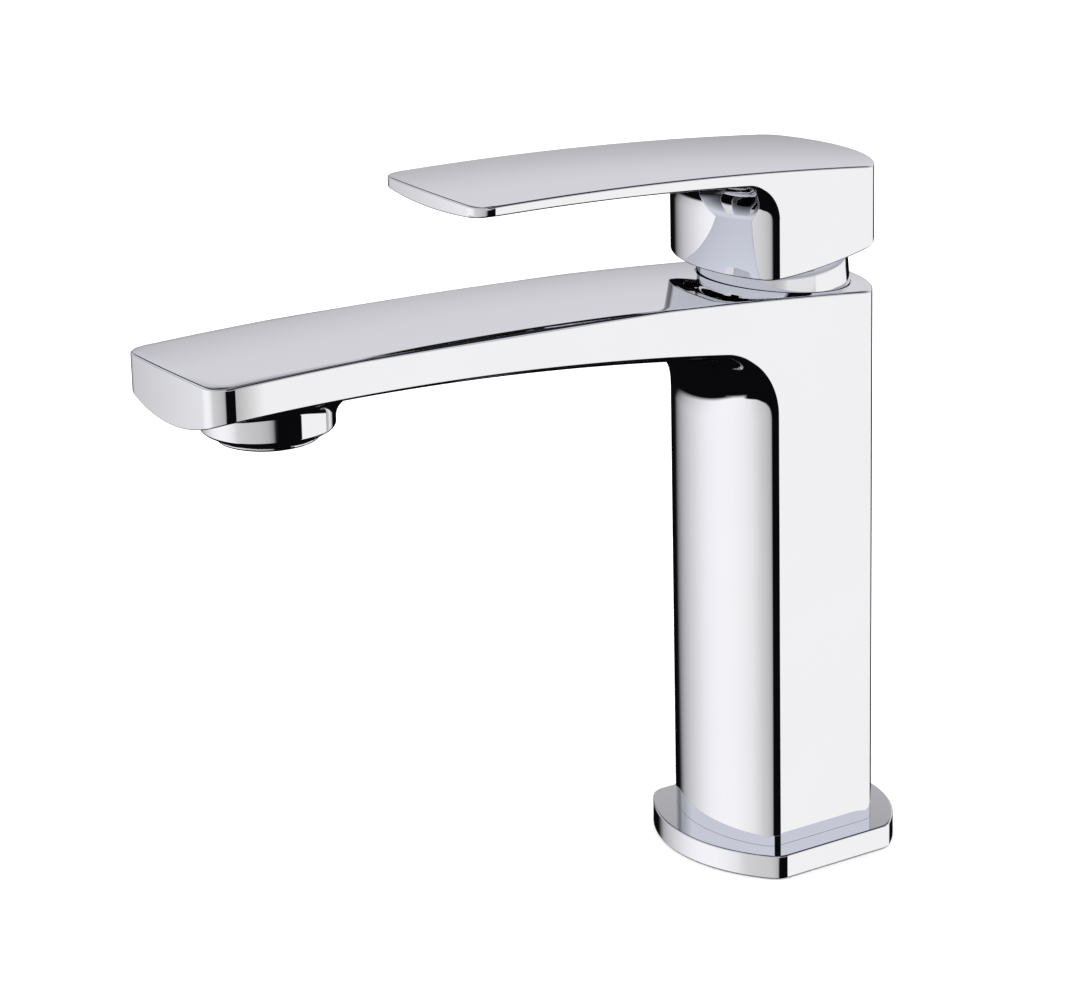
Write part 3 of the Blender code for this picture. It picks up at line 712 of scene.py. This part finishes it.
def under_z(x, y):
    """The height of the spout's crowned underside, with its rolled rim."""
    rise = roll(plan_distance(x, y), under_edge(y))
    return arc_z(UNDER_APEX, UNDER_RADIUS, y) - crown(x, UNDER_CROWN) + rise


def bend(front, apex, under_radius, sag, radius, steps):
    """The hollow of even radius from an arc's underside down to an upright front, as (y, z)."""
    lean = math.atan((front - radius - apex[0]) / under_radius)
    centre_y = front - radius
    start_y = centre_y + radius * math.sin(lean)
    centre_z = arc_z(apex, under_radius, start_y) - sag - radius * math.cos(lean)
    turns = spread(math.pi / 2 - lean, 0.0, steps)
    return [(centre_y + radius * math.cos(a), centre_z + radius * math.sin(a)) for a in turns]


def body_ring(x):
    """The body's closed outline, seen from the side, at one place across it."""
    back = BACK_FLAT + bow_reach(x, HALF, BACK_BOW, CORNER)
    tip = TIP_FLAT - bow_reach(x, HALF, TIP_BOW, TIP_CORNER)
    front = FRONT_FLAT - bow_reach(x, HALF, FRONT_BOW, CORNER)
    ring = [(back, z) for z in spread(FOOT_Z, deck_z(x, back), WALL_STEPS)[:-1]]
    rims = rim_steps(EDGE)
    deck = [back - s for s in rims] + spread(back - EDGE, tip + EDGE, DECK_STEPS)[1:-1]
    deck += [tip + s for s in rims[::-1]]
    ring += [(y, deck_z(x, y)) for y in deck]
    ring += [(tip, z) for z in spread(deck_z(x, tip), under_z(x, tip), TIP_STEPS)[1:-1]]
    sag = crown(x, UNDER_CROWN) - roll(HALF - abs(x), COLUMN_UNDER_EDGE)
    arch = bend(front, UNDER_APEX, UNDER_RADIUS, sag, ARCH, ARCH_STEPS)
    under = [tip + s for s in rim_steps(TIP_UNDER_EDGE)]
    under += spread(tip + TIP_UNDER_EDGE, arch[0][0], UNDER_STEPS)[1:-1]
    ring += [(y, under_z(x, y)) for y in under] + arch
    ring += [(front, z) for z in spread(arch[-1][1], FOOT_Z, WALL_STEPS)[1:]]
    return [(x, y, z) for y, z in ring]


# %% Loft the body skin
stations = across_stations(HALF, TIP_CORNER, EDGE, BODY_INNER)
body = loft("body_casting", [body_ring(x) for x in stations], CHROME)
print("body skin:", len(stations), "rings,", len(body.data.polygons), "faces")

# %% [markdown]
# The outlet boss grows out of the underside with a hollow flare. The flare
# follows the crowned underside, and it is widest on the side of the column. The
# boss and a spigot that fits the cover plate are joined to the skin.

# %% Join the boss and the spigot
OUTLET_Y, OUTLET_Z = -129.9, 122.0
BOSS_RADIUS, BOSS_TOP = 14.1, 133.0
BOSS_FLARE, BOSS_TAIL, TAIL_POWER = 1.4, 2.9, 1.2
FLARE_BITE = 0.07
FLARE_STEPS, BOSS_STEPS = 14, 128
SPIGOT_RADIUS, SPIGOT_BITE = 15.4, 1.0
BOSS_FOOT = (
    (11.3, OUTLET_Z), (11.6, 122.1), (13.6, 123.3), (13.9, 123.55), (14.05, 123.8),
    (BOSS_RADIUS, 124.1),
)


def boss_column(turn):
    """One upright line of the boss: the end of its straight wall, its flare, and its hidden top."""
    flare = BOSS_FLARE + BOSS_TAIL * max(math.sin(turn), 0.0) ** TAIL_POWER
    column = []
    for sweep in spread(0.0, math.pi / 2, FLARE_STEPS):
        radius = BOSS_RADIUS + flare * (1 - math.cos(sweep))
        x, y = radius * math.cos(turn), OUTLET_Y + radius * math.sin(turn)
        roof = arc_z(UNDER_APEX, UNDER_RADIUS, y) - crown(x, UNDER_CROWN)
        column.append((x, y, roof - flare + (flare + FLARE_BITE) * math.sin(sweep)))
    return column + [(column[-1][0], column[-1][1], BOSS_TOP)]


turns = [2 * math.pi * k / BOSS_STEPS for k in range(BOSS_STEPS)]
columns = [boss_column(turn) for turn in turns]
boss = [[(r * math.cos(t), OUTLET_Y + r * math.sin(t), z) for t in turns] for r, z in BOSS_FOOT]
boss += [[column[k] for column in columns] for k in range(len(columns[0]))]
spigot = turned("spigot", disc(SPIGOT_RADIUS, 0.0, FOOT_Z + SPIGOT_BITE), CHROME)
carve(body, [loft("boss", boss, CHROME), spigot], "UNION")
print("boss rings:", len(boss))

# %% [markdown]
# Then everything inside the casting is cut: the cartridge chamber, the hollow
# column, the water path, the outlet, and for each hose a hole in the foot, a
# socket and an inlet. The last hole takes the fixing stud.

# %% Cut the inside
COLLAR_RADIUS, GAP = 17.0, 0.3
MOUTH_RADIUS, NUT_RADIUS, CARTRIDGE_RADIUS = COLLAR_RADIUS + GAP, 15.6, 14.1
MOUTH_TOP, COLLAR_SEAT_Z, NUT_SEAT_Z, SEAT_Z = 150.0, 130.2, 125.9, 98.0
COLUMN_WALL, COLUMN_LOW, COLUMN_HIGH = 3.2, 12.0, 84.0
OVER_WATER, UNDER_WATER, WATER_HALF, WATER_PAST, WATER_STEPS = 3.0, 2.9, 8.0, 5.5, 12
OUTLET_BORE, OUTLET_LOW, OUTLET_HIGH = 9.6, 121.0, 133.4
BELOW, FOOT_CUT_TOP = -1.0, 13.0
HOSE_Y = -4.6
# Each cut made on both sides, as (name, radius, low, high, distance across, steps).
HOSE_CUTS = (
    ("hose_hole", 5.2, BELOW, FOOT_CUT_TOP, 5.6, 48),
    ("hose_socket", 4.4, 83.0, 93.0, 5.4, 48),
    ("inlet", 1.8, 92.0, 99.0, 4.2, 32),
)
STUD_RADIUS, STUD_Y = 3.4, 8.6


def water_path():
    """The cored passage from the chamber's front along the spout, drawn from the side."""
    end = OUTLET_Y - WATER_PAST
    outline = [(-12.5, 100.0), (-17.8, 100.0), (-17.8, 112.5), (-20.6, 118.8)]
    for y in spread(-31.0, end, WATER_STEPS):
        outline.append((y, arc_z(UNDER_APEX, UNDER_RADIUS, y) - UNDER_CROWN + UNDER_WATER))
    for y in spread(end, -36.0, WATER_STEPS):
        outline.append((y, arc_z(DECK_APEX, DECK_RADIUS, y) - OVER_WATER))
    outline += [(-21.0, 124.4), (-12.5, 121.5)]
    return prism("water_path", outline, -WATER_HALF, WATER_HALF, CHROME, "X")


chamber = [(0.0, MOUTH_TOP), (MOUTH_RADIUS, MOUTH_TOP), (MOUTH_RADIUS, COLLAR_SEAT_Z)]
chamber += [(NUT_RADIUS, COLLAR_SEAT_Z), (NUT_RADIUS, NUT_SEAT_Z), (CARTRIDGE_RADIUS, NUT_SEAT_Z)]
chamber += [(CARTRIDGE_RADIUS, SEAT_Z), (0.0, SEAT_Z)]
body_ends = (FRONT, FRONT_BOW), (BACK, BACK_BOW)
inner = plan_outline(COLUMN_WALL, HALF, CORNER, *body_ends, step=9, count=8)
outlet = disc(OUTLET_BORE, OUTLET_LOW, OUTLET_HIGH)
helpers = [turned("chamber", chamber, CHROME, steps=128)]
helpers.append(prism("column_hollow", inner, COLUMN_LOW, COLUMN_HIGH, CHROME))
helpers.append(water_path())
helpers.append(turned("outlet_bore", outlet, CHROME, (0.0, OUTLET_Y)))
for side in (-1, 1):
    for name, radius, low, high, x, steps in HOSE_CUTS:
        helpers.append(turned(name, disc(radius, low, high), CHROME, (side * x, HOSE_Y), steps))
stud = disc(STUD_RADIUS, BELOW, FOOT_CUT_TOP)
helpers.append(turned("stud_hole", stud, CHROME, (0.0, STUD_Y), 48))
cuts = len(helpers)
carve(body, helpers)
polish(body)
print("cuts in the body:", cuts)

# %% [markdown]
# Cutting the chamber leaves long, thin faces on the deck, and mirrored shapes
# ripple where shading is averaged over them. The deck's height is a known
# function, so its shading can be set from that function's own slope.


# %% Shade the deck from its own slope
UPWARD, ON_DECK, RIM_MARGIN = 0.9, 0.02, 0.1


def deck_slope(x, y, step=0.05):
    """The upward direction of the deck at one place."""
    ahead = (deck_z(x, y + step) - deck_z(x, y - step)) / (2 * step)
    across = (deck_z(x + step, y) - deck_z(x - step, y)) / (2 * step)
    return Vector((-across, -ahead, 1.0)).normalized()


def shade_deck(piece):
    """Keeps the weighted shading everywhere but on the deck, well inside its rim."""
    settled = piece.evaluated_get(bpy.context.evaluated_depsgraph_get())
    mesh = bpy.data.meshes.new_from_object(settled)
    shading = [Vector(corner.vector) for corner in mesh.corner_normals]
    changed = 0
    for face in mesh.polygons:
        if face.normal.z < UPWARD:
            continue
        for corner in face.loop_indices:
            x, y, z = mesh.vertices[mesh.loops[corner].vertex_index].co / MM
            if abs(z - deck_z(x, y)) < ON_DECK and plan_distance(x, y) > EDGE + RIM_MARGIN:
                shading[corner] = deck_slope(x, y)
                changed += 1
    mesh.normals_split_custom_set(shading)
    piece.modifiers.clear()
    piece.data = mesh
    print("deck corners shaded:", changed)


shade_deck(body)
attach(body, "root")
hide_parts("body")
print("body:", len(body.data.polygons), "faces")

# %% [markdown]
# ## The cover plate
#
# A chromed plate hides the tap hole. Its outline repeats the body's, a little
# larger. Its top edge is rolled by a third of a millimetre, and a recess inside
# keeps its wall thin.

# %% Base plate
PLATE_HALF, PLATE_CORNER = 24.5, 4.7
PLATE_FRONT, PLATE_BACK = -26.6, 26.2
PLATE_FRONT_BOW, PLATE_BACK_BOW = 9.8, 12.6
PLATE_TOP = 5.5
PLATE_EDGE, FOOT_BREAK = 0.35, 0.2
RECESS_WALL, RECESS_TOP = 1.8, 3.3
OPENING_RADIUS = 15.7


def plate_plan(inset):
    ends = (PLATE_FRONT, PLATE_FRONT_BOW), (PLATE_BACK, PLATE_BACK_BOW)
    return plan_outline(inset, PLATE_HALF, PLATE_CORNER, *ends, step=6, count=20)


levels = [(FOOT_BREAK, 0.0), (0.0, FOOT_BREAK), (0.0, 1.5), (0.0, 3.0)]
for angle in spread(0.0, math.pi / 2, 5):
    inset = PLATE_EDGE * (1 - math.cos(angle))
    levels.append((inset, PLATE_TOP - PLATE_EDGE * (1 - math.sin(angle))))
rings = [[(x, y, z) for x, y in plate_plan(inset)] for inset, z in levels]
plate = loft("cover_plate", rings, CHROME)
recess = prism("recess", plate_plan(RECESS_WALL), BELOW, RECESS_TOP, CHROME)
opening = turned("opening", disc(OPENING_RADIUS, BELOW, PLATE_TOP + 1.0), CHROME)
carve(plate, [recess, opening])
polish(plate)
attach(plate, "root")
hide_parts("base_flange")
print("cover plate:", len(plate.data.polygons), "faces")

# %% [markdown]
# ## The cover ring
#
# A domed ring screws down over the cartridge nut. It is turned on a lathe, so
# it is a profile swept round the axis. Its wall leans in a little towards the
# top.

# %% Cover ring, drawn as (radius, z)
DOME = (
    (9.6, 142.0), (11.6, 141.6), (13.2, 140.9), (14.6, 140.1), (15.5, 139.3), (16.1, 138.5),
    (16.45, 137.6), (16.6, 136.8), (16.67, 136.0),
)
RING_WALL = ((16.98, 132.0), (COLLAR_RADIUS, 130.7), (16.8, 130.5))
RING_INSIDE = ((15.8, 130.5), (15.8, 136.3), (15.1, 137.6), (12.9, 139.5), (9.6, 140.7))

collar = turned("cover_ring", DOME + RING_WALL + RING_INSIDE, CHROME, steps=160)
polish(collar)
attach(collar, "root")
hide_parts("collar")
print("cover ring:", len(collar.data.polygons), "faces")

# %% [markdown]
# ## The handle
#
# A thin lever grows out of a hollow block, with a tight hollow fillet where
# they meet. It is lofted like the body, and then the inside of the block, the
# stem's square socket and the screw hole are cut.

# %% Handle sizes
LEVER_TIP, LEVER_TIP_BOW, LEVER_TIP_CORNER = -90.0, 1.0, 4.6
LEVER_APEX, LEVER_RADIUS = (-101.2, 166.7), 900.0
LEVER_UNDER, LEVER_UNDER_RADIUS, LEVER_CROWN = (-101.2, 164.3), 740.0, 1.0
BLOCK_FRONT, BLOCK_BACK, BLOCK_BOW = -20.7, 21.4, 6.5
FILLET = 9.0
SKIRT_APEX, SKIRT_RADIUS = (-14.0, 137.9), 110.0
LEVER_EDGE = 0.4
TOP_STEPS, LEVER_UNDER_STEPS, FILLET_STEPS, SKIRT_STEPS = 48, 30, 22, 24
SCREW_Z = 151.8
SOCKET_HALF, SOCKET_LOW, SOCKET_HIGH = 3.3, 146.0, 157.0
BLOCK_WALL, HOLLOW_LOW, HOLLOW_HIGH = 2.2, 130.0, 147.5
SCREW_RADIUS, SCREW_START = 2.6, 2.0
PLUG_RADIUS, PLUG_START, PAST_BLOCK = 3.4, 18.4, 25.0

BLOCK_FRONT_FLAT = BLOCK_FRONT + bow_reach(0, HALF, BLOCK_BOW, CORNER)
BLOCK_BACK_FLAT = BLOCK_BACK - bow_reach(0, HALF, BACK_BOW, CORNER)
LEVER_TIP_FLAT = LEVER_TIP + bow_reach(0, HALF, LEVER_TIP_BOW, LEVER_TIP_CORNER)


def handle_drop(x, y):
    """The drop of the rolled edge all round the handle, lever and block together."""
    ahead = rim_distance(x, LEVER_TIP_FLAT - y, HALF, LEVER_TIP_BOW, LEVER_TIP_CORNER)
    back = rim_distance(x, y - BLOCK_BACK_FLAT, HALF, BACK_BOW, CORNER)
    return roll(min(ahead, back), LEVER_EDGE)


def lever_top(x, y):
    return arc_z(LEVER_APEX, LEVER_RADIUS, y) - CAMBER * (x / HALF) ** 2 - handle_drop(x, y)


def lever_under(x, y):
    return arc_z(LEVER_UNDER, LEVER_UNDER_RADIUS, y) - crown(x, LEVER_CROWN) + handle_drop(x, y)


def skirt_z(x, y):
    """The block's lower edge, which curves up towards the back."""
    front = rim_distance(x, BLOCK_FRONT_FLAT - y, HALF, BLOCK_BOW, CORNER)
    back = rim_distance(x, y - BLOCK_BACK_FLAT, HALF, BACK_BOW, CORNER)
    return arc_z(SKIRT_APEX, -SKIRT_RADIUS, y) + roll(min(front, back), LEVER_EDGE)


def handle_ring(x):
    """The handle's closed outline, seen from the side, at one place across it."""
    back = BLOCK_BACK_FLAT + bow_reach(x, HALF, BACK_BOW, CORNER)
    tip = LEVER_TIP_FLAT - bow_reach(x, HALF, LEVER_TIP_BOW, LEVER_TIP_CORNER)
    front = BLOCK_FRONT_FLAT - bow_reach(x, HALF, BLOCK_BOW, CORNER)
    rims = rim_steps(LEVER_EDGE)
    from_back, from_tip = [back - s for s in rims], [tip + s for s in rims]
    top = spread(back - LEVER_EDGE, tip + LEVER_EDGE, TOP_STEPS)[1:-1]
    ring = [(y, lever_top(x, y)) for y in from_back + top + from_tip[::-1]]
    ring += [(tip, z) for z in spread(lever_top(x, tip), lever_under(x, tip), 2)[1:-1]]
    sag = crown(x, LEVER_CROWN) - roll(HALF - abs(x), LEVER_EDGE)
    hollow = bend(front, LEVER_UNDER, LEVER_UNDER_RADIUS, sag, FILLET, FILLET_STEPS)
    under = spread(tip + LEVER_EDGE, hollow[0][0], LEVER_UNDER_STEPS)[1:-1]
    ring += [(y, lever_under(x, y)) for y in from_tip + under] + hollow
    ring += [(front, z) for z in spread(hollow[-1][1], skirt_z(x, front), 5)[1:-1]]
    skirt = spread(front + LEVER_EDGE, back - LEVER_EDGE, SKIRT_STEPS)[1:-1]
    skirt = [front + s for s in rims] + skirt + from_back[::-1]
    ring += [(y, skirt_z(x, y)) for y in skirt]
    ring += [(back, z) for z in spread(skirt_z(x, back), lever_top(x, back), 4)[1:-1]]
    return [(x, y, z) for y, z in ring]


# %% Loft and cut the handle
def lay_back(piece):
    """Turns an upright helper shape to point backwards, at the screw's height."""
    turn_back = Matrix.Rotation(math.radians(-90), 4, "X")
    piece.data.transform(Matrix.Translation((0.0, 0.0, SCREW_Z * MM)) @ turn_back)
    return piece


lever_stations = across_stations(HALF, CORNER, LEVER_EDGE)
handle = loft("handle_casting", [handle_ring(x) for x in lever_stations], CHROME)
block_ends = (BLOCK_FRONT, BLOCK_BOW), (BLOCK_BACK, BACK_BOW)
block_inner = plan_outline(BLOCK_WALL, HALF, CORNER, *block_ends, step=15, count=8)
square = [(SOCKET_HALF * x, SOCKET_HALF * y) for x, y in ((-1, -1), (1, -1), (1, 1), (-1, 1))]
screw = disc(SCREW_RADIUS, SCREW_START, PAST_BLOCK)
plug = disc(PLUG_RADIUS, PLUG_START, PAST_BLOCK)
helpers = [prism("block_hollow", block_inner, HOLLOW_LOW, HOLLOW_HIGH, CHROME)]
helpers.append(prism("stem_socket", square, SOCKET_LOW, SOCKET_HIGH, CHROME))
helpers.append(lay_back(turned("screw_hole", screw, CHROME, steps=48)))
helpers.append(lay_back(turned("plug_seat", plug, CHROME, steps=64)))
carve(handle, helpers)
polish(handle)
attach(handle, "lever")
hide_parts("handle")
print("handle:", len(handle.data.polygons), "faces")

# %% [markdown]
# ## The outlet
#
# The aerator holder is the thin chromed rim under the boss. A sleeve on it
# reaches up into the boss.

# %% Aerator holder, drawn as (radius, z)
HOLDER_RIM = (
    (8.0, 121.3), (8.3, 121.0), (10.2, 121.0), (10.6, 121.15), (10.8, 121.5), (10.8, 121.7),
)
HOLDER_SLEEVE = ((9.3, 121.7), (9.3, 130.2), (8.0, 130.2))

holder = turned("aerator_rim", HOLDER_RIM + HOLDER_SLEEVE, CHROME, (0.0, OUTLET_Y), 128)
polish(holder)
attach(holder, "root")
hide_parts("aerator_holder")
print("aerator rim:", len(holder.data.polygons), "faces")

# %% [markdown]
# ## The floor and the soft light
#
# A plain pale floor carries the tap. It is a flat disc just under the cover
# plate, wide enough for any camera. Mirrored rays pass through it, because the
# lower half of the room already stands for what the chrome sees below. A round
# lamp high beyond the spout gives the soft light a little direction.

# %% Floor
FLOOR_Z = -0.2
FLOOR_RADII = (120.0, 500.0, 2000.0, 8000.0)
SECTORS = 96
PALE = finish(
    "pale_floor",
    (0.955, 0.955, 0.955), (0.965, 0.965, 0.965), (0.8, 0.95), PLAIN, 300.0, 1e-5,
)

points = [(0.0, 0.0, FLOOR_Z)]
for radius in FLOOR_RADII:
    for k in range(SECTORS):
        angle = 2 * math.pi * k / SECTORS
        points.append((radius * math.cos(angle), radius * math.sin(angle), FLOOR_Z))
faces = [(0, 1 + k, 1 + (k + 1) % SECTORS) for k in range(SECTORS)]
for row in range(len(FLOOR_RADII) - 1):
    first = 1 + row * SECTORS
    for k in range(SECTORS):
        here, after = first + k, first + (k + 1) % SECTORS
        faces.append((here, here + SECTORS, after + SECTORS, after))
floor = make_mesh("floor", points, faces, PALE)
floor.visible_glossy = False
print("floor faces:", len(floor.data.polygons))

# %% Soft light
LAMP_SIZE, LAMP_POWER = 0.9, 0.8
LAMP_PLACE = (-0.35, -0.55, 1.1)

lamp = bpy.data.lights.new("soft_box", "AREA")
lamp.shape = "DISK"
lamp.size = LAMP_SIZE
lamp.energy = LAMP_POWER
soft_box = bpy.data.objects.new("soft_box", lamp)
soft_box.location = LAMP_PLACE
soft_box.rotation_euler = (-soft_box.location).to_track_quat("-Z", "Y").to_euler()
soft_box.visible_glossy = False
bpy.context.scene.collection.objects.link(soft_box)
print("lamp at", LAMP_PLACE)
